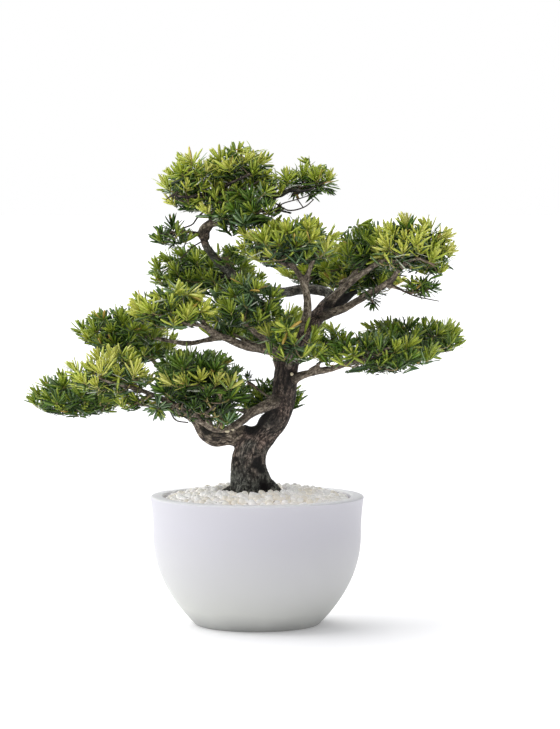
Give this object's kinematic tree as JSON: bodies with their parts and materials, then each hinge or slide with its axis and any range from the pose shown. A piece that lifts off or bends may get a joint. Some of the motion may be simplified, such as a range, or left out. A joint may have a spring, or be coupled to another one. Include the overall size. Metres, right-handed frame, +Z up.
{
  "type": "podocarpus bonsai in a bowl planter",
  "caption": "Podocarpus trained as a curved bonsai, with layered pads of strap leaves, growing in a round white bowl planter dressed with pale pebbles.",
  "frame": {"origin": "centre of the planter's flat underside, on the planter's axis", "axes": "+Z up along the planter's axis; the tree's front looks along -Y, and +X is to the right seen from the front"},
  "size_m": [1.2267, 0.7155, 1.3451],
  "materials": {
    "planter_glaze": "satin",
    "potting_soil": "matte",
    "pale_pebbles": "matte",
    "bark": "matte",
    "leaves": "satin"
  },
  "bodies": {
    "root": {"planter": "planter_glaze", "soil": "potting_soil", "pebbles": "pale_pebbles", "trunk": "bark", "bough_low_left": "bark", "bough_low_left_end": "bark", "bough_low_back": "bark", "bough_left_back": "bark", "bough_front_fall": "bark", "bough_front_rise": "bark", "bough_low_centre": "bark", "bough_mid_left": "bark", "bough_mid_left_back": "bark", "bough_centre": "bark", "bough_front": "bark", "bough_back_low": "bark", "bough_inner_rear": "bark", "bough_upright": "bark", "bough_right_low": "bark", "bough_right_back": "bark", "bough_right_up": "bark", "bough_right_end": "bark", "bough_right_mid": "bark", "bough_right_rear": "bark", "leader_low": "bark", "leader_bend": "bark", "leader_top": "bark", "bough_back": "bark", "bough_back_left": "bark", "bough_top_right": "bark", "bough_top_front": "bark", "bough_top_mid": "bark", "bough_small_left": "bark", "foliage_top_left": "leaves", "foliage_top_mid": "leaves", "foliage_top_right": "leaves", "foliage_top_front": "leaves", "foliage_small_left": "leaves", "foliage_back_left": "leaves", "foliage_centre_right": "leaves", "foliage_right_up": "leaves", "foliage_right_inner": "leaves", "foliage_right_end": "leaves", "foliage_right_rear": "leaves", "foliage_centre": "leaves", "foliage_mid_left": "leaves", "foliage_left_high": "leaves", "foliage_low_tip": "leaves", "foliage_low_front": "leaves", "foliage_low_centre": "leaves", "foliage_low_back": "leaves", "foliage_left_rear": "leaves", "foliage_right_low": "leaves", "foliage_right_back": "leaves", "foliage_front": "leaves", "foliage_inner_rear": "leaves", "foliage_rear": "leaves", "foliage_rear_low": "leaves"}
  },
  "joints": []
}
